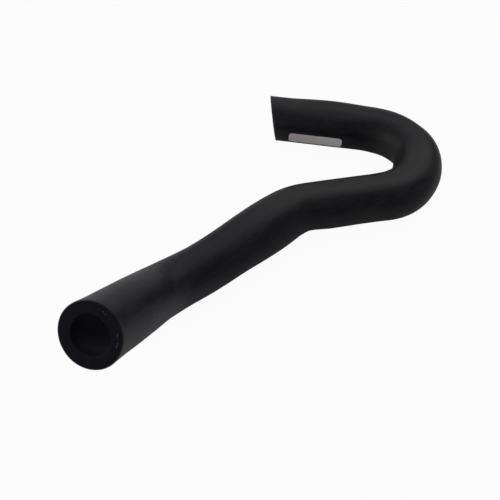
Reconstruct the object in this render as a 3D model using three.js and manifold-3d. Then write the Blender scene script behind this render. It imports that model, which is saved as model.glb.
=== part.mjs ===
// Heater hose: a moulded rubber hose for a car's heating circuit, with a hook at
// one end, a short leg that climbs at the other, and a paper label by the far cut.
// Millimetres, +Z up. The hose lies as it comes to rest: the hook is flat on the
// table (Z = 0) and the near leg points up off it. The far leg runs along -X, and
// the origin is below the middle of the hose's box.

import * as THREE from 'three';
import { mergeVertices } from 'three/addons/utils/BufferGeometryUtils.js';
import Module from 'manifold-3d';

const wasm = await Module();
wasm.setup();

// Section of the hose
const outerDiameter = 26;
const boreDiameter = 16;

// Straight stretches, from the near cut face to the far one
const nearStraight = 47;
const slopeStraight = 46;
const middleStraight = 42;
const farStraight = 54;

// Bends in the same order: radius at the centreline, and turn seen from above in
// degrees, positive to the left
const nearBendRadius = 27;
const nearBendTurn = -39;
const easeBendRadius = 120;
const easeBendTurn = 7;
const shoulderBendRadius = 30;
const shoulderBendTurn = -29;
const hookBendRadius = 27;
const hookBendTurn = 148;
const tailBendRadius = 50;
const tailBendTurn = 12;

// How steeply the near leg climbs off the table, in degrees
const nearRiseAngle = 42;

// The far end was trimmed by hand: its cut leans from square by these, in degrees
const farCutYaw = 14;
const farCutPitch = 4;

// Label, wrapped round the far leg on the side that faces the hook
const labelLength = 31.5;
const labelWidth = 8;
const labelThickness = 0.3;
const labelGap = 0.3;
const labelCornerRadius = 2;
const labelFromCut = 11.5;
const labelTopAngle = 7;

// Fineness of the facets
const sectionSides = 28;
const degreesPerStep = 9;
const labelArcSteps = 8;
const labelCornerSteps = 4;

const outerRadius = outerDiameter / 2;
const boreRadius = boreDiameter / 2;
const rad = THREE.MathUtils.degToRad;

// A straight stretch or a bend of the route, each with its own way to give a point
// at a share t of its length
class Stretch extends THREE.Curve {
  constructor(start, direction, length) {
    super();
    Object.assign(this, { start, direction, length, steps: 1 });
  }
  get exit() {
    return this.direction;
  }
  getPoint(t, target = new THREE.Vector3()) {
    return target.copy(this.direction).multiplyScalar(t * this.length).add(this.start);
  }
  getTangent(t, target = new THREE.Vector3()) {
    return target.copy(this.direction);
  }
}

class Bend extends THREE.Curve {
  constructor(start, entry, exit, radius) {
    super();
    const angle = entry.angleTo(exit);
    const axis = new THREE.Vector3().crossVectors(entry, exit).normalize();
    const inward = new THREE.Vector3().crossVectors(axis, entry);
    const steps = Math.ceil(THREE.MathUtils.radToDeg(angle) / degreesPerStep);
    Object.assign(this, { entry, exit, radius, angle, inward, steps });
    this.centre = start.clone().addScaledVector(inward, radius);
  }
  getPoint(t, target = new THREE.Vector3()) {
    const a = t * this.angle;
    return target.copy(this.centre)
      .addScaledVector(this.inward, -this.radius * Math.cos(a))
      .addScaledVector(this.entry, this.radius * Math.sin(a));
  }
  getTangent(t, target = new THREE.Vector3()) {
    const a = t * this.angle;
    return target.copy(this.entry).multiplyScalar(Math.cos(a))
      .addScaledVector(this.inward, Math.sin(a));
  }
}

// The whole centreline. Its steps go where it bends, so t runs through the steps
// of each stretch in turn instead of evenly along the length.
class HoseRoute extends THREE.Curve {
  constructor(stretches) {
    super();
    this.stretches = stretches;
    this.steps = stretches.reduce((sum, stretch) => sum + stretch.steps, 0);
  }
  locate(t) {
    let step = t * this.steps;
    let index = 0;
    while (index < this.stretches.length - 1 && step > this.stretches[index].steps) {
      step -= this.stretches[index].steps;
      index += 1;
    }
    const stretch = this.stretches[index];
    return [stretch, step / stretch.steps];
  }
  getPoint(t, target) {
    const [stretch, share] = this.locate(t);
    return stretch.getPoint(share, target);
  }
  getTangent(t, target) {
    const [stretch, share] = this.locate(t);
    return stretch.getTangent(share, target);
  }
  getUtoTmapping(u) {
    return u;
  }
}

// A direction from its heading in plan and its rise, both in degrees
function heading(plan, rise = 0) {
  const flat = Math.cos(rad(rise));
  return new THREE.Vector3(
    flat * Math.cos(rad(plan)), flat * Math.sin(rad(plan)), Math.sin(rad(rise)));
}

// Follows the stretches from the near cut to the far one. The far leg heads along
// -X, and the other headings are counted back from it.
function makeRoute(endAllowance) {
  const tailHeading = 180 - tailBendTurn;
  const middleHeading = tailHeading - hookBendTurn;
  const slopeHeading = middleHeading - shoulderBendTurn;
  const easeHeading = slopeHeading - easeBendTurn;
  const nearHeading = easeHeading - nearBendTurn;
  const plan = [
    { straight: nearStraight, along: heading(nearHeading, -nearRiseAngle) },
    { radius: nearBendRadius, to: heading(easeHeading) },
    { radius: easeBendRadius, to: heading(slopeHeading) },
    { straight: slopeStraight },
    { radius: shoulderBendRadius, to: heading(middleHeading) },
    { straight: middleStraight },
    { radius: hookBendRadius, to: heading(tailHeading) },
    { radius: tailBendRadius, to: heading(180) },
    { straight: farStraight + endAllowance },
  ];
  const stretches = [];
  let at = new THREE.Vector3();
  let direction = plan[0].along;
  for (const piece of plan) {
    const stretch = piece.straight
      ? new Stretch(at, direction, piece.straight)
      : new Bend(at, direction, piece.to, piece.radius);
    stretches.push(stretch);
    at = stretch.getPoint(1);
    direction = stretch.exit;
  }
  return new HoseRoute(stretches);
}

function asSolid(geometry) {
  const plain = geometry.clone();
  plain.deleteAttribute('normal');
  plain.deleteAttribute('uv');
  const merged = mergeVertices(plain, 1e-4);
  return new wasm.Manifold(new wasm.Mesh({
    numProp: 3,
    vertProperties: new Float32Array(merged.attributes.position.array),
    triVerts: new Uint32Array(merged.index.array),
  }));
}

function asGeometry(solid) {
  const mesh = solid.getMesh();
  const geometry = new THREE.BufferGeometry();
  geometry.setAttribute('position', new THREE.BufferAttribute(mesh.vertProperties, 3));
  geometry.setIndex(new THREE.BufferAttribute(mesh.triVerts, 1));
  geometry.computeVertexNormals();
  return geometry;
}

// The rubber tube: a ring swept along the route, a little too long at the far end,
// and then trimmed there by the leaning cut
function makeHose(route, farEnd) {
  const ring = new THREE.Shape().absarc(0, 0, outerRadius, 0, 2 * Math.PI);
  ring.holes.push(new THREE.Path().absarc(0, 0, boreRadius, 0, 2 * Math.PI));
  const tube = new THREE.ExtrudeGeometry(ring, {
    curveSegments: sectionSides / 2,
    steps: route.steps,
    extrudePath: route,
  });
  const blockSide = 2 * outerDiameter;
  const waste = new THREE.BoxGeometry(blockSide, blockSide, blockSide);
  waste.translate(-blockSide / 2, 0, 0);
  waste.rotateY(-rad(farCutPitch));
  waste.rotateZ(rad(farCutYaw));
  waste.translate(farEnd.x, farEnd.y, farEnd.z);
  return asGeometry(asSolid(tube).subtract(asSolid(waste)));
}

// The label: a shell round the far leg, cut to a rounded rectangle that is pushed
// through it square to the label's middle
function makeLabel(farEnd) {
  const inner = outerRadius + labelGap;
  const outer = inner + labelThickness;
  const halfSpan = labelWidth / inner / 2;
  const middleAngle = rad(labelTopAngle) - halfSpan;
  const overlap = halfSpan / 2;

  // Drawn across the leg, with X towards the inside of the hook and Y up
  const band = new THREE.Shape();
  const from = middleAngle - halfSpan - overlap;
  const to = middleAngle + halfSpan + overlap;
  band.absarc(0, 0, outer, from, to, false);
  band.absarc(0, 0, inner, to, from, true);
  const shell = new THREE.ExtrudeGeometry(band, {
    curveSegments: labelArcSteps, depth: labelLength * 2, bevelEnabled: false,
  });
  shell.translate(0, 0, -labelLength);

  const half = { x: labelLength / 2, y: inner * Math.sin(halfSpan) };
  const r = labelCornerRadius;
  const outline = new THREE.Shape();
  outline.absarc(half.x - r, half.y - r, r, 0, Math.PI / 2);
  outline.absarc(r - half.x, half.y - r, r, Math.PI / 2, Math.PI);
  outline.absarc(r - half.x, r - half.y, r, Math.PI, 1.5 * Math.PI);
  outline.absarc(half.x - r, r - half.y, r, 1.5 * Math.PI, 2 * Math.PI);
  const punch = new THREE.ExtrudeGeometry(outline, {
    curveSegments: labelCornerSteps, depth: outerDiameter, bevelEnabled: false,
  });
  punch.rotateY(Math.PI / 2);
  punch.rotateZ(middleAngle);

  const label = asGeometry(asSolid(shell).intersect(asSolid(punch)));
  const turn = new THREE.Matrix4().makeBasis(
    new THREE.Vector3(0, -1, 0), new THREE.Vector3(0, 0, 1), new THREE.Vector3(-1, 0, 0));
  label.applyMatrix4(turn);
  label.translate(farEnd.x + labelFromCut + labelLength / 2, farEnd.y, farEnd.z);
  return label;
}

const cutAllowance = outerDiameter * Math.tan(rad(farCutYaw + farCutPitch));
const route = makeRoute(cutAllowance);
const farEnd = route.getPoint(1);
farEnd.x += cutAllowance;

const rubber = new THREE.MeshStandardMaterial({
  color: 0x1c1c1e, roughness: 0.7, metalness: 0,
});
const paper = new THREE.MeshStandardMaterial({
  color: 0xb4a8a3, roughness: 0.8, metalness: 0,
});

const hose = new THREE.Mesh(makeHose(route, farEnd), rubber);
hose.name = 'hose';
const label = new THREE.Mesh(makeLabel(farEnd), paper);
label.name = 'label';

const group = new THREE.Group();
group.add(hose, label);

// Bring the middle of the box's underside to the origin
const box = new THREE.Box3().setFromObject(hose);
const middle = box.getCenter(new THREE.Vector3());
group.position.set(-middle.x, -middle.y, -box.min.z);

export default group;
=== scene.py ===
# %% [markdown]
# A moulded heater hose
#
# This notebook makes a car's heater hose: a black rubber tube that was moulded into a hook and
# four gentler bends, with yarn inside its wall, two cut ends and a small blank sticker. It is
# built as a tube is bent on a bench: a ring is drawn, pushed along the straight stretches and
# turned through the bends. Each cell says what the piece is, how it could be made, and why it
# is made this way.

# %% Load the frame
import math
import random

import bpy
from mathutils import Matrix, Vector
from mathutils.kdtree import KDTree


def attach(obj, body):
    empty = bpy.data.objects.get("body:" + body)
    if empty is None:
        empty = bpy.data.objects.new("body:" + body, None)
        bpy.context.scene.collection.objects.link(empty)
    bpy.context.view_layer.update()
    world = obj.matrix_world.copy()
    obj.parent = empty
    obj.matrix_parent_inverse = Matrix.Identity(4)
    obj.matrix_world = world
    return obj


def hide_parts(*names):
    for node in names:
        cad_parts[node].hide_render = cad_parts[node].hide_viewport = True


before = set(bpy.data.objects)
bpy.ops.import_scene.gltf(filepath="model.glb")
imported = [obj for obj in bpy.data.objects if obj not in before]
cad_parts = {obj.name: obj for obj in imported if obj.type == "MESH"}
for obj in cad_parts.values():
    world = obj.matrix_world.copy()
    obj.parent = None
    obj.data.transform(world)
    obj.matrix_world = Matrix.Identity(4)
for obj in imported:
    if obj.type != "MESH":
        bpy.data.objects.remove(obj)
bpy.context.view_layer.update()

# %% [markdown]
# The view
#
# The hose is seen from close by, steeply from above, through a fairly wide lens. The raised end
# is only 0.19 m from the lens and the far end is 0.32 m from it, so the raised end looks much
# thicker, though the tube is the same all along. Such a view can be found by hand, by turning a
# camera until the outline fits. Here the place and the angles were worked out from the outline,
# so they are set as numbers, before anything is made.

# %% Camera
CAMERA_PLACE = Vector((0.00512, -0.15702, 0.21448))
CAMERA_HEADING = math.radians(99.75)      # in plan, counted from +X
CAMERA_DIP = math.radians(54.36)          # below level

camera_data = bpy.data.cameras.new("camera")
camera_data.sensor_width = 36.0           # mm, and the picture is square
camera_data.lens = 36.0                   # mm
camera_data.clip_start = 0.01
camera = bpy.data.objects.new("camera", camera_data)
camera.location = CAMERA_PLACE
camera.rotation_euler = (math.pi / 2 - CAMERA_DIP, 0.0, CAMERA_HEADING - math.pi / 2)
bpy.context.scene.collection.objects.link(camera)
bpy.context.scene.camera = camera
print("camera height in mm:", round(1000 * CAMERA_PLACE.z))

# %% [markdown]
# Measures of the hose
#
# A hose maker's drawing gives a bent tube as a list: so much straight, then a bend of some
# radius towards some heading, and so on to the other end. The same list is kept here. Lengths
# are in metres. A heading is the way the tube points in plan, in degrees from +X. Only the
# first stretch also falls: it comes down from the raised end onto the table.

# %% The bending list
OUTER_RADIUS = 0.013
BORE_RADIUS = 0.008
NEAR_FALL = 42


def heading(plan, rise=0):
    flat = math.cos(math.radians(rise))
    return Vector((flat * math.cos(math.radians(plan)),
                   flat * math.sin(math.radians(plan)),
                   math.sin(math.radians(rise))))


NEAR_CUT_CENTRE = Vector((-0.063793, -0.089598, 0.053764))
NEAR_HEADING = heading(81, -NEAR_FALL)
FAR_HEADING = heading(180)
BENDING_LIST = [
    {"straight": 0.047},
    {"radius": 0.027, "to": heading(42)},
    {"radius": 0.120, "to": heading(49)},
    {"straight": 0.046},
    {"radius": 0.030, "to": heading(20)},
    {"straight": 0.042},
    {"radius": 0.027, "to": heading(168)},
    {"radius": 0.050, "to": FAR_HEADING},
    {"straight": 0.046},
]
LAST_STRAIGHT = 0.0083                    # up to the middle of the leaning far cut
CUT_ALLOWANCE = 0.008                     # more length, which that cut trims off

# %% [markdown]
# The first ring
#
# A tube could be a curve with a round bevel, but that is only a display of a line, and it has
# no wall. Here two circles are drawn where the near cut is, one for the outside and one for
# the bore. They are one piece, so that all that follows moves both, and the wall keeps its
# 5 mm through every bend.

# %% Two circles at the near cut
RING_SIDES = 120


def deselect_all():
    bpy.ops.object.select_all(action="DESELECT")


def pick(*pieces):
    """Selects some pieces and makes the first of them the active one."""
    deselect_all()
    for piece in pieces:
        piece.select_set(True)
    bpy.context.view_layer.objects.active = pieces[0]


def open_mesh(piece, mode="VERT"):
    """Opens a piece in edit mode with nothing selected."""
    pick(piece)
    bpy.ops.object.mode_set(mode="EDIT")
    bpy.ops.mesh.select_mode(type=mode)
    bpy.ops.mesh.select_all(action="DESELECT")
    bpy.ops.object.mode_set(mode="OBJECT")


def close_mesh():
    bpy.ops.object.mode_set(mode="OBJECT")


def place_in_mesh(piece):
    """Puts a piece's place, turn and scale into its mesh, so its object is at the origin."""
    pick(piece)
    bpy.ops.object.transform_apply(location=True, rotation=True, scale=True)


ring_turn = NEAR_HEADING.to_track_quat("Z", "Y").to_euler()
circles = []
for radius in (OUTER_RADIUS, BORE_RADIUS):
    bpy.ops.mesh.primitive_circle_add(
        vertices=RING_SIDES, radius=radius, location=NEAR_CUT_CENTRE, rotation=ring_turn)
    circles.append(bpy.context.active_object)
pick(*circles)
bpy.ops.object.join()
hose = bpy.context.active_object
hose.name = "moulded_hose"
place_in_mesh(hose)
print("points in the two circles:", len(hose.data.vertices))

# %% [markdown]
# Pushing and bending
#
# On a straight the circles are extruded in small steps. In a bend they are spun round the
# bend's centre, as on a mandrel, so every ring stays square to the tube. Spin turns against
# the axis that it is given, so its angle gets a minus. The same steps also note where the
# middle of the tube runs and which way is up on it. That list is used later, for the rubber's
# pattern. The last piece of the tube is one long step, so that the leaning cut meets no ring
# there and leaves clean edges.

# %% Push along the straights, spin round the bends
PUSH_STEP = 0.002
SPIN_STEP = math.radians(3)
TRACK_STEP = 0.00025                      # how finely the middle of the tube is noted
SAME_PLACE = 0.00001

track = []                                # (point, heading, upper side, length so far)


def push(at, along, upper, run, length, steps):
    for _ in range(steps):
        bpy.ops.mesh.extrude_region_move(
            TRANSFORM_OT_translate={"value": along * (length / steps)})
    notes = math.ceil(length / TRACK_STEP)
    track.extend((at + along * (length * n / notes), along, upper, run + length * n / notes)
                 for n in range(notes))
    return at + along * length, run + length


def bend(at, along, upper, run, radius, to):
    angle = along.angle(to)
    axis = along.cross(to).normalized()
    centre = at + axis.cross(along) * radius
    steps = round(angle / SPIN_STEP)
    bpy.ops.mesh.spin(steps=steps, angle=-angle, center=centre, axis=axis)
    notes = math.ceil(radius * angle / TRACK_STEP)
    for n in range(notes + 1):
        turn = Matrix.Rotation(angle * n / notes, 3, axis)
        here = (centre + turn @ (at - centre), turn @ along, turn @ upper,
                run + radius * angle * n / notes)
        if n < notes:
            track.append(here)
    return here


open_mesh(hose)
bpy.ops.object.mode_set(mode="EDIT")
bpy.ops.mesh.select_all(action="SELECT")
at, along, run = NEAR_CUT_CENTRE, NEAR_HEADING, 0.0
upper = along.cross(Vector((0, 0, 1)).cross(along)).normalized()
for stretch in BENDING_LIST:
    if "to" in stretch:
        at, along, upper, run = bend(at, along, upper, run, stretch["radius"], stretch["to"])
    else:
        length = stretch["straight"]
        at, run = push(at, along, upper, run, length, round(length / PUSH_STEP))
at, run = push(at, along, upper, run, LAST_STRAIGHT + CUT_ALLOWANCE, 1)
track.append((at, along, upper, run))
bpy.ops.mesh.select_all(action="SELECT")
bpy.ops.mesh.remove_doubles(threshold=SAME_PLACE)
close_mesh()
hose_length = run - CUT_ALLOWANCE
far_cut_centre = at - along * CUT_ALLOWANCE
print("length along the middle in mm:", round(1000 * hose_length))
print("points in the tube:", len(hose.data.vertices))

# %% [markdown]
# The two cuts
#
# The near end was cut square. The far end was trimmed by hand, and its cut leans by 14 degrees
# in plan and 6 degrees up. A cut could be a Boolean with a box, but Bisect does the same with
# only a plane: it cuts all the walls and clears what is beyond. Then each end has two open
# edges, and Bridge joins them with a flat face. A few cuts in the bridge give that face some
# points of its own, so that it needn't stay perfectly flat. The bore's faces are turned over
# before that, because they have to look towards the middle.

# %% Trim the far end
FAR_CUT_YAW = math.radians(14)
FAR_CUT_PITCH = math.radians(6)
NEAR_AN_END = 0.02                        # all points of a cut are nearer to its middle

far_cut_out = (Matrix.Rotation(FAR_CUT_YAW, 3, "Z") @ Matrix.Rotation(-FAR_CUT_PITCH, 3, "Y")
               @ FAR_HEADING)
cuts = ((NEAR_CUT_CENTRE, -NEAR_HEADING), (far_cut_centre, far_cut_out))


def distance_from_track(point):
    place, number, _ = track_tree.find(point)
    return (point - place - track[number][1] * (point - place).dot(track[number][1])).length


track_tree = KDTree(len(track))
for number, (place, _, _, _) in enumerate(track):
    track_tree.insert(place, number)
track_tree.balance()

open_mesh(hose, "FACE")
for face in hose.data.polygons:
    face.select = distance_from_track(face.center) < (OUTER_RADIUS + BORE_RADIUS) / 2
bpy.ops.object.mode_set(mode="EDIT")
bpy.ops.mesh.flip_normals()
close_mesh()

open_mesh(hose)
for v in hose.data.vertices:
    v.select = (v.co - far_cut_centre).length < 1.5 * NEAR_AN_END
bpy.ops.object.mode_set(mode="EDIT")
bpy.ops.mesh.bisect(plane_co=far_cut_centre, plane_no=far_cut_out, clear_outer=True)
close_mesh()
print("faces with the far end trimmed:", len(hose.data.polygons))

# %% Close both cuts
FACE_CUTS = 7
IN_PLANE = 0.00002


def in_cut(point, centre, out):
    """Tells whether a point lies at one end of the hose, in the plane of its cut."""
    step = point - centre
    return step.length < NEAR_AN_END and abs(step.dot(out)) < IN_PLANE


for centre, out in cuts:
    open_mesh(hose, "EDGE")
    for edge in hose.data.edges:
        edge.select = all(in_cut(hose.data.vertices[v].co, centre, out) for v in edge.vertices)
    bpy.ops.object.mode_set(mode="EDIT")
    bpy.ops.mesh.bridge_edge_loops(number_cuts=FACE_CUTS, interpolation="LINEAR")
    close_mesh()
open_mesh(hose, "FACE")
bpy.ops.object.mode_set(mode="EDIT")
bpy.ops.mesh.select_all(action="SELECT")
bpy.ops.mesh.normals_make_consistent(inside=False)
close_mesh()
print("faces with the cuts closed:", len(hose.data.polygons))

# %% [markdown]
# Rims
#
# A knife leaves a crisp rim on rubber, but never a perfect one: it is rounded by about a third
# of a millimetre, enough to catch a thin line of light. The four rims are found by their place,
# in the plane of a cut and as far from the tube's middle as one of its walls, and bevelled.

# %% Round the rims
RIM_ROUNDING = 0.0003
ON_WALL = 0.0002                          # a rim's points are as near as this to a wall

open_mesh(hose, "EDGE")
for edge in hose.data.edges:
    a, b = (hose.data.vertices[v].co for v in edge.vertices)
    if any(in_cut(a, centre, out) and in_cut(b, centre, out) for centre, out in cuts):
        reaches = [distance_from_track(a), distance_from_track(b)]
        edge.select = (min(reaches) > OUTER_RADIUS - ON_WALL
                       or max(reaches) < BORE_RADIUS + ON_WALL)
rim_edges = sum(edge.select for edge in hose.data.edges)
bpy.ops.object.mode_set(mode="EDIT")
bpy.ops.mesh.bevel(offset=RIM_ROUNDING, segments=3, affect="EDGES")
close_mesh()
print("rim edges rounded:", rim_edges, "faces now:", len(hose.data.polygons))

# %% [markdown]
# The straightened hose
#
# Marks on a hose follow it round its bends, because they were made while it was straight. So
# each point also keeps where it would lie on the straightened tube: across, up, and along. A UV
# map would have a seam on one side, but this is a place in space, so a pattern on it closes all
# the way round. It is stored on the mesh as an attribute that the materials read.

# %% Store each point's place on the straightened tube
def straightened(point):
    place, number, _ = track_tree.find(point)
    _, along, upper, run = track[number]
    step = point - place
    return Vector((step.dot(along.cross(upper)), step.dot(upper), run + step.dot(along)))


def store_straightened(piece):
    layer = piece.data.attributes.new("straightened", "FLOAT_VECTOR", "POINT")
    for v in piece.data.vertices:
        layer.data[v.index].vector = straightened(v.co)


store_straightened(hose)
ends = [v.vector.z for v in hose.data.attributes["straightened"].data]
print("runs in mm from", round(1000 * min(ends), 1), "to", round(1000 * max(ends), 1))

# %% [markdown]
# Swells and pinches
#
# When a soft tube is pushed over a bent mandrel, its cover gathers here and stretches there.
# This one is up to a millimetre thicker before the shoulder and on the upper side of the hook
# and the far leg, has a slight waist after the first bend, and is pinched at one place inside
# the hook. Proportional editing could do this by eye. Here each swell is a line in a list: how
# far along the hose it is, how far it reaches, how much it moves the cover, and, where it is
# only on one side, the direction round the tube in degrees and how far round it goes. The list
# becomes two groups of weighted points, and Displace moves one of them out and the other one
# in. The underside stays as it is, because the hose lies on it.

# %% Swell and pinch the cover
MOST_MOVED = 0.001                        # what a full weight in a group stands for
STILL_BELOW = -0.95                       # the cover stays where a normal's Z is below this
FREE_ABOVE = -0.70                        # and moves in full where it is above this
SWELLS = [                                # along, reach, amount, direction, how far round
    (0.000, 0.010, 0.00017, None, None),
    (0.033, 0.030, 0.00028, None, None),
    (0.080, 0.020, -0.00027, None, None),
    (0.121, 0.026, 0.00095, None, None),
    (0.149, 0.010, -0.00050, -40, 60),
    (0.200, 0.015, 0.00050, None, None),
    (0.219, 0.014, 0.00060, 160, 80),
    (0.2375, 0.013, -0.00075, 180, 80),
    (0.261, 0.012, 0.00035, 180, 80),
    (0.230, 0.016, 0.00080, 50, 50),
    (0.292, 0.026, 0.00095, 50, 50),
]


def fall_off(distance, reach):
    return max(0.0, 1 - (distance / reach) ** 2) ** 2


def moved(place, steepness):
    """How far the swells move a point of the cover outwards, from its straightened place."""
    total = 0.0
    for along, reach, amount, direction, spread in SWELLS:
        share = fall_off(place.z - along, reach)
        if direction is not None:
            turn = math.degrees(math.atan2(place.y, place.x)) - direction
            share *= fall_off((turn + 180) % 360 - 180, spread)
        total += amount * share
    free = (steepness - STILL_BELOW) / (FREE_ABOVE - STILL_BELOW)
    return total * min(1.0, max(0.0, free))


amounts = []
for v in hose.data.vertices:
    place = straightened(v.co)
    on_cover = math.hypot(place.x, place.y) > OUTER_RADIUS - IN_PLANE
    amounts.append(moved(place, v.normal.z) if on_cover else 0.0)
print("swells in mm from", round(1000 * min(amounts), 2), "to", round(1000 * max(amounts), 2))
for name, way in (("swell", 1), ("pinch", -1)):
    group = hose.vertex_groups.new(name=name)
    for number, amount in enumerate(amounts):
        if amount * way > 0:
            group.add([number], amount * way / MOST_MOVED, "REPLACE")
    push_out = hose.modifiers.new(name, "DISPLACE")
    push_out.vertex_group = name
    push_out.strength = way * MOST_MOVED
    push_out.mid_level = 0.0
    pick(hose)
    bpy.ops.object.modifier_apply(modifier=name)
widest = max(hose.data.vertices, key=lambda v: distance_from_track(v.co)).co
print("thickest in mm:", round(2000 * distance_from_track(widest), 2))

# %% [markdown]
# Uneven rubber
#
# A moulded hose is never perfectly round or straight: the wall swells and shrinks by a tenth
# of a millimetre or so as it cures. That could be a bump in the material, but then the outline
# would stay perfect. Displace moves the points themselves, by a slow cloud pattern, and only
# inwards, so that the hose keeps within its size.

# %% Waviness of the surface
WAVE_DEPTH = 0.00022
WAVE_SIZE = 0.016
RIM_ANGLE = math.radians(40)              # edges that turn by more are shaded crisp

waves = bpy.data.textures.new("slow_waves", "CLOUDS")
waves.noise_scale = WAVE_SIZE
waves.noise_depth = 1
displace = hose.modifiers.new("waviness", "DISPLACE")
displace.texture = waves
displace.texture_coords = "LOCAL"
displace.strength = WAVE_DEPTH
displace.mid_level = 1.0
pick(hose)
bpy.ops.object.modifier_apply(modifier="waviness")
bpy.ops.object.shade_smooth_by_angle(angle=RIM_ANGLE)
low, high = (Vector(f(v.co[k] for v in hose.data.vertices) for k in range(3)) for f in (min, max))
print("hose box in mm:", [round(1000 * v, 2) for v in low], [round(1000 * v, 2) for v in high])

# %% [markdown]
# Yarn ends
#
# The wall of a heater hose holds a layer of knitted yarn, which takes the pressure. The knife
# cuts through it, so both cuts show a ring of yarn ends, five sixths of the way out. Most are
# flush and stained black, and a few stand out pale. One end is modelled, from a slim rod
# whose tip is pushed out and narrowed, and it is copied round the ring, each copy turned and
# stretched a little by hand or, here, by a seeded random number.

# %% Model one yarn end
YARN_RING = 0.0108
YARN_WIDTH = 0.00034
YARN_LENGTH = 0.0006
YARN_SIDES = 7
TIP_OUT = 0.00012                         # the tip is pushed out by this, and then by the next
TIP_PEAK = Vector((0.00003, 0, 0.00008))

bpy.ops.mesh.primitive_cylinder_add(vertices=YARN_SIDES, radius=YARN_WIDTH / 2,
                                    depth=YARN_LENGTH, end_fill_type="NGON", location=(0, 0, 0))
yarn_end = bpy.context.active_object
yarn_end.name = "yarn_end"
open_mesh(yarn_end, "FACE")
for face in yarn_end.data.polygons:
    face.select = face.normal.z > 0.9
bpy.ops.object.mode_set(mode="EDIT")
bpy.ops.mesh.extrude_region_move(TRANSFORM_OT_translate={"value": (0, 0, TIP_OUT)})
bpy.ops.transform.resize(value=(1.15, 0.9, 1))
bpy.ops.mesh.inset(thickness=YARN_WIDTH * 0.2)
bpy.ops.transform.translate(value=TIP_PEAK)
close_mesh()
print("faces in one yarn end:", len(yarn_end.data.polygons))

# %% Copy it round both cuts
# The pale ends of the near cut: angle from level in degrees, length, width, and how far they
# are bent over along the ring, from 0 to 1
NEAR_PALE_ENDS = [(79, 0.6, 1.0, 0.2), (69, 1.1, 0.8, 0.9), (63, 0.6, 0.9, 0.3),
                  (15, 2.6, 0.8, 1.0), (11, 1.8, 0.7, 0.9), (-3, 2.8, 0.9, 1.0),
                  (-115, 0.3, 0.6, 0.2)]
FAR_PALE_ENDS = [(-50, 0.8, 1.1, 0.5), (-130, 0.6, 1.0, 0.2)]
PLAIN_ENDS = 36
RING_UNEVEN = 0.00012                     # how far an end may be off the ring
SUNK, BENT_SUNK = 0.0002, 0.0001          # how deep an upright and a bent end sit in the rubber
SEED = 5

chance = random.Random(SEED)


def yarn_ring(name, centre, out, pale):
    across = Vector((0, 0, 1)).cross(out).normalized()
    upward = out.cross(across)
    plain = [(360 * (n + chance.uniform(-0.3, 0.3)) / PLAIN_ENDS, chance.uniform(0.35, 0.8),
              chance.uniform(0.7, 1.2), chance.uniform(0.0, 0.7)) for n in range(PLAIN_ENDS)]
    copies = []
    for angle, length, width, bent in pale + plain:
        pick(yarn_end)
        bpy.ops.object.duplicate(linked=False)
        copy = bpy.context.active_object
        turn = math.radians(angle)
        reach = YARN_RING + chance.uniform(-RING_UNEVEN, RING_UNEVEN)
        outwards = across * math.cos(turn) + upward * math.sin(turn)
        copy.location = (centre + outwards * reach
                         - out * (SUNK - (SUNK - BENT_SUNK) * bent))
        lean = (out * (1.02 - bent) + out.cross(outwards) * bent
                + 0.25 * Vector([chance.uniform(-1, 1) for _ in range(3)]))
        copy.rotation_euler = lean.to_track_quat("Z", "Y").to_euler()
        copy.scale = (width, width, length)
        shade = copy.data.attributes.new("paleness", "FLOAT", "POINT")
        for item in shade.data:
            item.value = 1.0 if len(copies) < len(pale) else chance.uniform(0.0, 0.3) ** 2
        copies.append(copy)
    pick(*copies)
    bpy.ops.object.join()
    ring = bpy.context.active_object
    ring.name = name
    place_in_mesh(ring)
    bpy.ops.object.shade_smooth()
    return ring


near_yarn = yarn_ring("near_yarn_ends", *cuts[0], NEAR_PALE_ENDS)
far_yarn = yarn_ring("far_yarn_ends", *cuts[1], FAR_PALE_ENDS)
bpy.data.objects.remove(yarn_end)
print("faces in the near ring:", len(near_yarn.data.polygons))

# %% [markdown]
# The sticker
#
# A small paper sticker is wrapped on the far leg, on the side that looks into the hook. It is
# cut from a flat card: a plane with its four corners bevelled round, cut into strips so that it
# can follow the curve, and pressed on the hose with Shrinkwrap, straight along its own normal.
# Solidify then gives it the thickness of paper. It carries no print.

# %% Cut the sticker
STICKER_LENGTH = 0.0315
STICKER_HEIGHT = 0.0075
STICKER_CORNER = 0.0019
STICKER_FROM_CUT = 0.0115
STICKER_TURN = math.radians(-11.8)        # its middle, as seen along the leg, from level
STICKER_STRIPS = (48, 16)                 # along it and across it
PAPER_THICKNESS = 0.00018
GLUE = 0.00004
LIFTED = 0.02                             # the flat sticker starts this far out
PAPER_EDGE_ANGLE = math.radians(50)

middle = far_cut_centre + Vector((STICKER_FROM_CUT + STICKER_LENGTH / 2, 0, 0))
face_out = Vector((0, -math.cos(STICKER_TURN), math.sin(STICKER_TURN)))
bpy.ops.mesh.primitive_plane_add(size=1, location=(0, 0, 0))
sticker = bpy.context.active_object
sticker.name = "paper_sticker"
sticker.scale = (STICKER_LENGTH, STICKER_HEIGHT, 1)
place_in_mesh(sticker)
open_mesh(sticker)
bpy.ops.object.mode_set(mode="EDIT")
bpy.ops.mesh.select_all(action="SELECT")
bpy.ops.mesh.bevel(offset=STICKER_CORNER, segments=8, affect="VERTICES")
for count, length, across in (
        (STICKER_STRIPS[0], STICKER_LENGTH, Vector((1, 0, 0))),
        (STICKER_STRIPS[1], STICKER_HEIGHT, Vector((0, 1, 0)))):
    for n in range(1, count):
        bpy.ops.mesh.select_all(action="SELECT")
        bpy.ops.mesh.bisect(plane_co=across * length * (n / count - 0.5), plane_no=across,
                            threshold=0.000001)
close_mesh()
print("faces in the flat sticker:", len(sticker.data.polygons))

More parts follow.
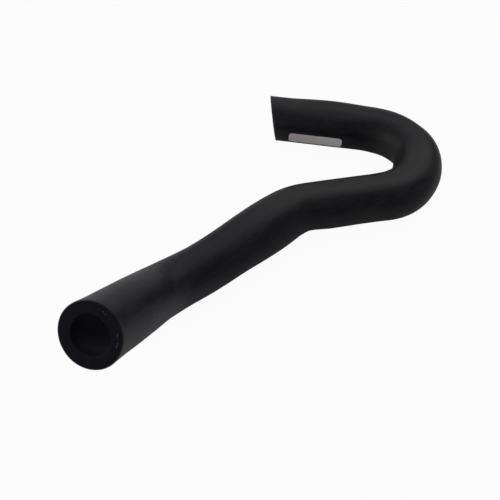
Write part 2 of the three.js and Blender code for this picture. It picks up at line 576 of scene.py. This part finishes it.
# %% Press it on the hose
sticker.matrix_world = Matrix.Translation(middle + face_out * LIFTED) @ (
    Matrix((Vector((1, 0, 0)), face_out.cross(Vector((1, 0, 0))), face_out))
    .transposed().to_4x4())
wrap = sticker.modifiers.new("press", "SHRINKWRAP")
wrap.target = hose
wrap.wrap_method = "PROJECT"
wrap.use_project_z = True
wrap.use_negative_direction = True
wrap.use_positive_direction = False
wrap.offset = GLUE
card = sticker.modifiers.new("card", "SOLIDIFY")
card.thickness = PAPER_THICKNESS
card.offset = 1.0
pick(sticker)
for modifier in ("press", "card"):
    bpy.ops.object.modifier_apply(modifier=modifier)
place_in_mesh(sticker)
bpy.ops.object.shade_smooth_by_angle(angle=PAPER_EDGE_ANGLE)
print("sticker reaches in mm:", round(1000 * max(v.co.x for v in sticker.data.vertices), 2))

# %% [markdown]
# Building blocks for the finishes
#
# A finish is a chain of nodes. A few short helpers keep the cells readable. The main one adds a
# node and feeds its sockets, with plain values or with another node's output. Others use it for
# what comes up again and again: a sum, a ramp from one level to another, and a mix of two
# colours. An effect that several finishes share is a node group with named inputs and outputs,
# so each finish uses it with its own values.

# %% Helpers for nodes and groups
def socket_of(sockets, name):
    return next(s for s in sockets if s.name == name and s.enabled)


def feed(tree, target, source):
    """Links an output to a socket, or sets the socket's own value."""
    if isinstance(source, bpy.types.NodeSocket):
        tree.links.new(source, target)
    else:
        target.default_value = source


def add(tree, kind, inputs=None, **settings):
    new = tree.nodes.new("ShaderNode" + kind)
    for name, value in settings.items():
        setattr(new, name, value)
    for name, source in (inputs or {}).items():
        target = new.inputs[name] if isinstance(name, int) else socket_of(new.inputs, name)
        feed(tree, target, source)
    return new


def math_node(tree, operation, *values):
    return add(tree, "Math", dict(enumerate(values)), operation=operation).outputs[0]


def ramp(tree, value, start, end, at_start=0.0, at_end=1.0, kind="SMOOTHSTEP"):
    """Goes from one level to another while a value goes from start to end."""
    return add(tree, "MapRange", {"Value": value, "From Min": start, "From Max": end,
                                  "To Min": at_start, "To Max": at_end},
               interpolation_type=kind).outputs["Result"]


def mix_colours(tree, factor, first, second):
    """Mixes two colours, each three numbers or another node's output."""
    first, second = ((*c, 1) if isinstance(c, tuple) else c for c in (first, second))
    mix = add(tree, "Mix", {"Factor": factor, "A": first, "B": second}, data_type="RGBA")
    return socket_of(mix.outputs, "Result")


def start_group(name, inputs, outputs):
    """A group with its input and output nodes; sockets are given as (name, kind, default)."""
    group = bpy.data.node_groups.new(name, "ShaderNodeTree")
    for label, kind, default in inputs:
        item = group.interface.new_socket(label, in_out="INPUT", socket_type="NodeSocket" + kind)
        if default is not None:
            item.default_value = default
    for label in outputs:
        group.interface.new_socket(label, in_out="OUTPUT", socket_type="NodeSocketFloat")
    entry = group.nodes.new("NodeGroupInput").outputs
    leave = group.nodes.new("NodeGroupOutput").inputs
    return group, entry, leave


def use_group(tree, group, inputs):
    placed = tree.nodes.new("ShaderNodeGroup")
    placed.node_tree = group
    for name, source in inputs.items():
        feed(tree, placed.inputs[name], source)
    return placed.outputs


def new_finish(name):
    material = bpy.data.materials.new(name)
    material.use_nodes = True
    shader = material.node_tree.nodes["Principled BSDF"]
    return material, material.node_tree, shader


def straightened_place(tree):
    """The stored place on the straightened tube: whole, then across, up and along."""
    place = add(tree, "Attribute", attribute_name="straightened").outputs["Vector"]
    split = add(tree, "SeparateXYZ", {"Vector": place}).outputs
    return place, split["X"], split["Y"], split["Z"]


def give_relief(tree, shader, height, depth, strength):
    bump = add(tree, "Bump", {"Height": height, "Distance": depth, "Strength": strength})
    feed(tree, shader.inputs["Normal"], bump.outputs["Normal"])


# %% [markdown]
# Patches and grain
#
# Two effects are shared by rubber, yarn and paper. Patches are soft islands, where dust and
# the pale bloom that rubber sweats out have settled: a noise, cut off at a level and softened.
# Grain is the fine roughness that a mould, a cloth or a paper mill leaves: two small noises,
# one over twice as fine as the other. Both read a place that the finish hands them, so the
# rubber can hand over its straightened place, and the paper its plain one.

# %% Group: patches
patches, entry, leave = start_group(
    "patches", [("Place", "Vector", None), ("Size", "Float", 0.01), ("Cover", "Float", 0.5),
                ("Softness", "Float", 0.2)], ["Mask"])
scale = math_node(patches, "DIVIDE", 1.0, entry["Size"])
cloud = add(patches, "TexNoise", {"Vector": entry["Place"], "Scale": scale, "Detail": 6.0,
                                  "Roughness": 0.62, "Distortion": 0.4})
level = math_node(patches, "SUBTRACT", 1.0, entry["Cover"])
mask = ramp(patches, cloud.outputs["Fac"],
            math_node(patches, "SUBTRACT", level, entry["Softness"]),
            math_node(patches, "ADD", level, entry["Softness"]))
feed(patches, leave["Mask"], mask)


def marks(tree, place, stretch, turn, size, cover, softness):
    """Patches that are drawn out along the hose and turned a little."""
    drawn = add(tree, "Mapping", {"Vector": place, "Scale": (1.0, 1.0, stretch),
                                  "Rotation": turn}).outputs["Vector"]
    return use_group(tree, patches, {"Place": drawn, "Size": size, "Cover": cover,
                                     "Softness": softness})["Mask"]


print("inputs of the patches:", [s.name for s in entry if s.name])

# %% Group: grain
grain, entry, leave = start_group(
    "grain", [("Place", "Vector", None), ("Size", "Float", 0.0004)], ["Height"])
scale = math_node(grain, "DIVIDE", 1.0, entry["Size"])
coarse = add(grain, "TexNoise", {"Vector": entry["Place"], "Scale": scale, "Detail": 2.0})
fine = add(grain, "TexNoise", {"Vector": entry["Place"], "Detail": 3.0,
                               "Scale": math_node(grain, "MULTIPLY", scale, 2.3)})
height = math_node(grain, "MULTIPLY_ADD", fine.outputs["Fac"], 0.5, coarse.outputs["Fac"])
feed(grain, leave["Height"], height)
print("shared effects:", patches.name, grain.name)

# %% [markdown]
# Outer rubber
#
# The cover is matte black EPDM rubber, the kind that stands hot coolant. Its look comes in
# layers: the black itself, with a breath of purple on the first half, then patches of grey
# bloom, then paler greys. Round the raised end the grey is dust that also carries painted
# sheen on the sides of the tube; it is left off one band round the tube, which stays dark as
# painted shade, and smudges lie there too. On top of the middle leg a thin grey is a painted
# highlight, and inside the hook the same grey is painted light. A few long scuffs come last.
# Each layer is mixed over the one below by a mask that is drawn from the straightened place.
# The nylon tape that was wound round the hose while it cured left a very shallow spiral, which
# is drawn from the angle round the tube plus the length.

# %% Finish: outer rubber, where the dust and the painted light lie
SHADE_BAND_SIDE = math.radians(56)             # round the straightened tube, from its X; the band that way keeps painted shade
DUST_AND_SHEEN_END = (0.048, 0.096)                # along the hose: where the thick dust and its painted sheen thin and end
PURPLE_HALF = (0.090, 0.150)              # where the purple thins and ends
TOP_HIGHLIGHT_END = (0.212, 0.250)             # where the painted highlight on top thins and ends
HOOK_MIDDLE = 0.243
HOOK_LIGHT_REACH = (0.008, 0.028)                # the same for the painted light inside the hook, from its middle
# how strong the painted highlight on top and the painted light in the hook are
TOP_HIGHLIGHT_SHARE = 0.32
HOOK_LIGHT_SHARE = 0.50

outer_rubber, tree, shader = new_finish("outer_rubber")
place, sideways, upwards, run_along = straightened_place(tree)
near_end = ramp(tree, run_along, *DUST_AND_SHEEN_END, 1.0, 0.0)
facing = add(tree, "VectorMath", {0: place, 1: (math.cos(SHADE_BAND_SIDE), math.sin(SHADE_BAND_SIDE), 0)},
             operation="DOT_PRODUCT").outputs["Value"]
# dust at the raised end, with painted sheen on the sides, left off the band that stays dark as
# painted shade
beside_shade_band = ramp(tree, facing, 0.38 * OUTER_RADIUS, 0.98 * OUTER_RADIUS, 1.0, 0.10)
end_dust_and_sheen = math_node(tree, "MULTIPLY", near_end, beside_shade_band)

first_half = ramp(tree, run_along, *PURPLE_HALF, 1.0, 0.0)
# a painted highlight along the top of the middle leg
on_top = ramp(tree, upwards, 0.70 * OUTER_RADIUS, OUTER_RADIUS)
middle_leg = math_node(tree, "SUBTRACT", ramp(tree, run_along, *TOP_HIGHLIGHT_END, 1.0, 0.0),
                       first_half)
painted_top_highlight = math_node(tree, "MULTIPLY", math_node(tree, "MULTIPLY", on_top, middle_leg),
                      TOP_HIGHLIGHT_SHARE)
# painted light on the inner side of the hook, which lies in shade
inner_side = ramp(tree, sideways, -0.25 * OUTER_RADIUS, -0.90 * OUTER_RADIUS)
from_bend = math_node(tree, "ABSOLUTE", math_node(tree, "SUBTRACT", run_along, HOOK_MIDDLE))
in_hook = ramp(tree, from_bend, *HOOK_LIGHT_REACH, 1.0, 0.0)
painted_hook_light = math_node(tree, "MULTIPLY", math_node(tree, "MULTIPLY", inner_side, in_hook),
                         HOOK_LIGHT_SHARE)
painted_light_mask = math_node(tree, "MAXIMUM", painted_top_highlight, painted_hook_light)
print("nodes so far:", len(tree.nodes))

# %% Finish: outer rubber, its patches and colours
BLACK, BLOOM = (0.0078, 0.0072, 0.0104), (0.0167, 0.0165, 0.0181)
PURPLE_BLACK, PURPLE_BLOOM = (0.0068, 0.0058, 0.0112), (0.0162, 0.0146, 0.0228)
# the first grey on the next line is painted light, for the top and the hook; the second is the
# dust of the raised end, which also carries painted sheen
PAINTED_LIGHT_GREY, THICK_DUST_AND_SHEEN = (0.046, 0.046, 0.045), (0.0555, 0.0527, 0.0635)
SMUDGE, SCUFF = (0.085, 0.085, 0.080), (0.075, 0.076, 0.078)

bloom = marks(tree, place, 0.35, (0.0, 0.0, 0.0), size=0.011, softness=0.22,
              cover=math_node(tree, "MULTIPLY_ADD", end_dust_and_sheen, 0.22, 0.40))
smudges = marks(tree, place, 0.4, (0.1, 0.2, 0.0), size=0.0026, cover=0.48, softness=0.16)
scuffs = marks(tree, place, 0.12, (0.25, 0.1, 0.0), size=0.0011, cover=0.30, softness=0.05)
scuffs = math_node(tree, "MULTIPLY", scuffs, bloom)
soiled = math_node(tree, "MULTIPLY", smudges, math_node(tree, "MULTIPLY_ADD", end_dust_and_sheen, 0.42, 0.05))

tint = mix_colours(tree, bloom, BLACK, BLOOM)
tint = mix_colours(tree, first_half, tint, mix_colours(tree, bloom, PURPLE_BLACK, PURPLE_BLOOM))
# the painted highlight on top of the middle leg and the painted light inside the hook
tint = mix_colours(tree, painted_light_mask, tint, PAINTED_LIGHT_GREY)
# thick dust at the raised end, which also carries painted sheen, with a band of painted shade
# where it is left off
tint = mix_colours(tree, math_node(tree, "MULTIPLY", end_dust_and_sheen, 0.95), tint, THICK_DUST_AND_SHEEN)
tint = mix_colours(tree, soiled, tint, SMUDGE)
tint = mix_colours(tree, math_node(tree, "MULTIPLY", scuffs, 0.35), tint, SCUFF)
feed(tree, shader.inputs["Base Color"], tint)
print("nodes with the colours:", len(tree.nodes))

# %% Finish: outer rubber, its gloss and relief
TAPE_PITCH = 0.0085                       # from one turn of the tape to the next
TAPE_CRISPNESS = 18.0

rough = math_node(tree, "MULTIPLY_ADD", bloom, 0.12, 0.34)
rough = math_node(tree, "MULTIPLY_ADD", smudges, 0.07, rough)
feed(tree, shader.inputs["Roughness"], rough)
shader.inputs["Specular IOR Level"].default_value = 0.16

turn = math_node(tree, "ARCTAN2", upwards, sideways)
winding = math_node(tree, "MULTIPLY_ADD", run_along, 2 * math.pi / TAPE_PITCH, turn)
wave = math_node(tree, "SINE", math_node(tree, "MULTIPLY", winding, 0.5))
tape = math_node(tree, "POWER", math_node(tree, "ABSOLUTE", wave), TAPE_CRISPNESS)
weave = use_group(tree, grain, {"Place": place, "Size": 0.00042})["Height"]
relief = math_node(tree, "MULTIPLY_ADD", weave, 0.5, math_node(tree, "MULTIPLY", tape, 0.35))
relief = math_node(tree, "MULTIPLY_ADD", smudges, 0.30, relief)
relief = math_node(tree, "MULTIPLY_ADD", scuffs, -0.3, relief)
give_relief(tree, shader, relief, depth=0.00010, strength=0.65)
print("nodes in all:", len(tree.nodes))

# %% [markdown]
# Cut rubber and bore
#
# Freshly cut rubber is darker than the cover, because nothing has settled on it. A knife that
# goes through in one stroke leaves fine parallel ridges, and the yarn layer shows as a slightly
# greyer ring of small pits. The bore was moulded against a polished mandrel: it is smoother,
# with faint lines along it from pulling the mandrel out. Behind the raised cut the bore gets a
# pale tint of painted light, none at the mouth, growing further in and fading again deeper
# down, so the bore isn't quite black.

# %% Finish: cut rubber
KNIFE_ANGLE = math.radians(35)

cut_rubber, tree, shader = new_finish("cut_rubber")
place, sideways, upwards, _ = straightened_place(tree)
flat = add(tree, "CombineXYZ", {"X": sideways, "Y": upwards}).outputs["Vector"]
radius = add(tree, "VectorMath", {0: flat}, operation="LENGTH").outputs["Value"]
off_ring = math_node(tree, "ABSOLUTE", math_node(tree, "SUBTRACT", radius, YARN_RING))
ring = ramp(tree, off_ring, 0.0002, 0.0007, 1.0, 0.0)
pits = use_group(tree, patches, {"Place": place, "Size": 0.0009, "Cover": 0.47,
                                 "Softness": 0.06})["Mask"]
pitted = math_node(tree, "MULTIPLY", ring, pits)
smear = use_group(tree, patches, {"Place": place, "Size": 0.005, "Cover": 0.45,
                                  "Softness": 0.2})["Mask"]
tint = mix_colours(tree, smear, (0.0078, 0.0068, 0.0129), (0.0119, 0.0104, 0.0185))
tint = mix_colours(tree, math_node(tree, "MULTIPLY", pitted, 0.45), tint, (0.020, 0.019, 0.024))
feed(tree, shader.inputs["Base Color"], tint)
feed(tree, shader.inputs["Roughness"], math_node(tree, "MULTIPLY_ADD", smear, 0.15, 0.55))
shader.inputs["Specular IOR Level"].default_value = 0.04

across_knife = add(tree, "Mapping", {"Vector": flat, "Rotation": (0, 0, KNIFE_ANGLE),
                                     "Scale": (1.0, 0.06, 1.0)}).outputs["Vector"]
ridges = use_group(tree, grain, {"Place": across_knife, "Size": 0.0005})["Height"]
relief = math_node(tree, "MULTIPLY_ADD", pitted, -0.9, ridges)
give_relief(tree, shader, relief, depth=0.00007, strength=0.6)
print("nodes in the cut's finish:", len(tree.nodes))

# %% Finish: bore rubber
# a pale tint of painted light in the bore behind the raised cut
PAINTED_BORE_LIGHT = (0.350, 0.320, 0.438)
BORE_LIGHT_START = (0.0015, 0.024)            # into the bore: from none to full
BORE_LIGHT_END = (0.050, 0.090)               # and from full to none again
BORE_LIGHT_CURVE = 1.4

bore_rubber, tree, shader = new_finish("bore_rubber")
place, _, _, run_in = straightened_place(tree)
drawn = add(tree, "Mapping", {"Vector": place, "Scale": (1.0, 1.0, 0.05)}).outputs["Vector"]
lines = use_group(tree, grain, {"Place": drawn, "Size": 0.0006})["Height"]
film = use_group(tree, patches, {"Place": place, "Size": 0.008, "Cover": 0.5,
                                 "Softness": 0.2})["Mask"]
tint = mix_colours(tree, film, (0.0132, 0.0116, 0.0188), (0.0180, 0.0160, 0.0248))
# painted light in the bore: none at the mouth, full further in, none again deeper down
lighter_further_in = math_node(tree, "POWER", ramp(tree, run_in, *BORE_LIGHT_START, kind="LINEAR"),
                    BORE_LIGHT_CURVE)
bore_light_mask = math_node(tree, "MULTIPLY", lighter_further_in, ramp(tree, run_in, *BORE_LIGHT_END, 1.0, 0.0))
feed(tree, shader.inputs["Base Color"], mix_colours(tree, bore_light_mask, tint, PAINTED_BORE_LIGHT))
feed(tree, shader.inputs["Roughness"], math_node(tree, "MULTIPLY_ADD", film, 0.2, 0.4))
shader.inputs["Specular IOR Level"].default_value = 0.05
give_relief(tree, shader, lines, depth=0.00004, strength=0.4)
print("rubber finishes:", outer_rubber.name, cut_rubber.name, bore_rubber.name)

# %% [markdown]
# Which faces get which rubber
#
# The three rubbers are one piece, so the finishes go on by face. On the straightened tube, a
# face's distance from the middle tells where it is: at the outer wall, at the bore, or between
# the two, on a cut. The faces are selected by that distance and each set is given its slot.

# %% Give the hose its three rubbers
def straightened_radius(piece, face):
    """How far a face was from the middle of the tube before the swells and the waviness."""
    stored = piece.data.attributes["straightened"].data
    reaches = [math.hypot(*stored[v].vector[:2]) for v in face.vertices]
    return sum(reaches) / len(reaches)


COVER_FROM = OUTER_RADIUS - 0.0003
BORE_UP_TO = BORE_RADIUS + 0.0004

rubbers = (outer_rubber, cut_rubber, bore_rubber)
for finish in rubbers:
    hose.data.materials.append(finish)
ranges = ((COVER_FROM, 1.0), (BORE_UP_TO, COVER_FROM), (0.0, BORE_UP_TO))
for slot_number, (least, most) in enumerate(ranges):
    open_mesh(hose, "FACE")
    for face in hose.data.polygons:
        face.select = least <= straightened_radius(hose, face) < most
    print(rubbers[slot_number].name, "faces:", sum(f.select for f in hose.data.polygons))
    hose.active_material_index = slot_number
    bpy.ops.object.mode_set(mode="EDIT")
    bpy.ops.object.material_slot_assign()
    close_mesh()

# %% [markdown]
# Yarn and paper
#
# The yarn is polyester. Where the knife cut it, most ends took the black of the rubber, and a
# few are still pale, so each end's own paleness, kept on its mesh, mixes the two. The paper is
# a warm grey, a little darker towards the cut, with the faint grain of card.

# %% Finish: yarn
yarn, tree, shader = new_finish("yarn")
place = add(tree, "TexCoord").outputs["Object"]
paleness = add(tree, "Attribute", attribute_name="paleness").outputs["Fac"]
fibres = use_group(tree, grain, {"Place": place, "Size": 0.00015})["Height"]
mixed = math_node(tree, "MULTIPLY", paleness, math_node(tree, "MULTIPLY_ADD", fibres, 0.8, 0.3))
tint = mix_colours(tree, mixed, (0.0075, 0.0071, 0.0105), (0.098, 0.097, 0.100))
feed(tree, shader.inputs["Base Color"], tint)
shader.inputs["Roughness"].default_value = 0.8
shader.inputs["Specular IOR Level"].default_value = 0.1
give_relief(tree, shader, fibres, depth=0.00005, strength=0.7)
for ring_piece in (near_yarn, far_yarn):
    ring_piece.data.materials.clear()
    ring_piece.data.materials.append(yarn)
print("nodes in the yarn's finish:", len(tree.nodes))

# %% Finish: paper
PAPER_NEAR_CUT, PAPER_AWAY_FROM_CUT = (0.53, 0.484, 0.476), (0.74, 0.692, 0.697)
STICKER_ENDS = (-0.0105, 0.021)           # in X, from the end by the cut

paper, tree, shader = new_finish("paper")
place = add(tree, "TexCoord").outputs["Object"]
along_leg = add(tree, "SeparateXYZ", {"Vector": place}).outputs["X"]
lighter_away_from_cut = ramp(tree, along_leg, *STICKER_ENDS, kind="LINEAR")
stains = use_group(tree, patches, {"Place": place, "Size": 0.007, "Cover": 0.5,
                                   "Softness": 0.25})["Mask"]
fibres = use_group(tree, grain, {"Place": place, "Size": 0.0003})["Height"]
light = math_node(tree, "MULTIPLY_ADD", stains, -0.25, lighter_away_from_cut)
light = math_node(tree, "MULTIPLY_ADD", fibres, 0.25, light)
feed(tree, shader.inputs["Base Color"], mix_colours(tree, light, PAPER_NEAR_CUT, PAPER_AWAY_FROM_CUT))
shader.inputs["Roughness"].default_value = 0.75
shader.inputs["Specular IOR Level"].default_value = 0.3
give_relief(tree, shader, fibres, depth=0.00005, strength=0.35)
sticker.data.materials.clear()
sticker.data.materials.append(paper)
print("small finishes:", yarn.name, paper.name)

# %% [markdown]
# Table and light
#
# The picture's background is plain white, with the hose lying on it. A white floor lit to pure
# white would throw far too much light on the hose, so the camera and see-through rays get a
# plain white from Light Path instead, mixed with a little of the lit floor, which keeps a faint
# shadow. Reflections get only a small share of that white, because a low matte hose would
# otherwise show a bright rim all along the table. All other rays see an ordinary white floor,
# and that is what lights the underside of the hose.

# %% Floor
FLOOR_SIZE = 4                            # metres
PLAIN_WHITE = 0.95                        # the rest is the lit floor, with its shadow
FLOOR_REFLECTED = 0.04
ROOM_REFLECTED = 0.02

bpy.ops.mesh.primitive_plane_add(size=FLOOR_SIZE, location=(0, 0, 0))
floor = bpy.context.active_object
floor.name = "table"

table_top, tree, shader = new_finish("table_top")
shader.inputs["Base Color"].default_value = (0.72, 0.72, 0.72, 1)
shader.inputs["Roughness"].default_value = 0.9
shader.inputs["Specular IOR Level"].default_value = 0.1


def directly_seen(tree, reflected):
    """1 for camera and transmission rays, a share of that for glossy rays, 0 for the rest."""
    rays = add(tree, "LightPath").outputs
    seen = math_node(tree, "MAXIMUM", rays["Is Camera Ray"], rays["Is Transmission Ray"])
    glossy = math_node(tree, "MULTIPLY", rays["Is Glossy Ray"], reflected)
    return math_node(tree, "MAXIMUM", seen, glossy)


share = math_node(tree, "MULTIPLY", directly_seen(tree, FLOOR_REFLECTED), PLAIN_WHITE)
white = add(tree, "Emission", {"Color": (1, 1, 1, 1), "Strength": 1.0})
mix = add(tree, "MixShader", {0: share, 1: shader.outputs["BSDF"],
                              2: white.outputs["Emission"]})
feed(tree, tree.nodes["Material Output"].inputs["Surface"], mix.outputs["Shader"])
floor.data.materials.append(table_top)
print("floor in m:", FLOOR_SIZE)

# %% [markdown]
# Room and lamps
#
# The room is dim, as a studio is, and the camera sees it white, so that the background stays
# plain from any side. Nine soft square panels stand round the hose: five behind and above,
# which draw the broad grey band along its upper side, two at the left, one weak one in front
# that reaches into the bore, and one low at the right. Lamps can be set by eye, one after
# another. Here the hose was rendered under one panel at a time, and those pictures were mixed
# until the sum looked right, which gave each panel its power.

# %% Room
ROOM_LIGHT = 0.15

world = bpy.data.worlds.new("room")
bpy.context.scene.world = world
world.use_nodes = True
tree = world.node_tree
dim = tree.nodes["Background"]
dim.inputs["Color"].default_value = (0.93, 0.95, 1.0, 1)
dim.inputs["Strength"].default_value = ROOM_LIGHT
white = add(tree, "Background", {"Color": (1, 1, 1, 1), "Strength": 1.0})
mix = add(tree, "MixShader", {0: directly_seen(tree, ROOM_REFLECTED),
                              1: dim.outputs["Background"], 2: white.outputs["Background"]})
feed(tree, tree.nodes["World Output"].inputs["Surface"], mix.outputs["Shader"])
print("room light:", ROOM_LIGHT)

# %% Lamps
LAMP_DISTANCE = 1.2
LAMPS_AIM = Vector((0, 0, 0.02))
PANELS = (                                # name, azimuth and height in degrees, size, power
    ("panel_behind_right", 56, 42, 0.9, 2.1),
    ("panel_behind_left", 118, 42, 0.9, 2.2),
    ("panel_behind_low", 92, 14, 0.7, 0.37),
    ("panel_above_right", 65, 68, 0.9, 2.5),
    ("panel_above_left", 180, 68, 0.9, 1.2),
    ("panel_left_low", 175, 14, 0.8, 2.0),
    ("panel_front_left", 225, 20, 1.0, 3.1),
    ("panel_front", 270, 20, 0.8, 0.3),
    ("panel_right_low", 350, 16, 0.8, 0.4),
)

for name, azimuth, height_angle, size, power in PANELS:
    data = bpy.data.lights.new(name, "AREA")
    data.size = size
    data.energy = power
    lamp = bpy.data.objects.new(name, data)
    lamp.location = heading(azimuth, height_angle) * LAMP_DISTANCE
    aim = LAMPS_AIM - lamp.location
    lamp.rotation_euler = aim.to_track_quat("-Z", "Y").to_euler()
    lamp.visible_camera = False
    bpy.context.scene.collection.objects.link(lamp)
bpy.context.scene.view_settings.view_transform = "Standard"
print("panels:", len(PANELS), "power in all:", round(sum(p[4] for p in PANELS), 2))

# %% [markdown]
# Handing the pieces over
#
# The CAD's plain hose and label stay for collision, and these pieces stand for them. All of
# them ride on the one rigid body.

# %% Ride and replace
for piece, slot_name in ((hose, "rubber"), (near_yarn, "rubber"), (far_yarn, "rubber"),
                         (sticker, "paper")):
    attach(piece, "root")
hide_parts("hose")
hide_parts("label")
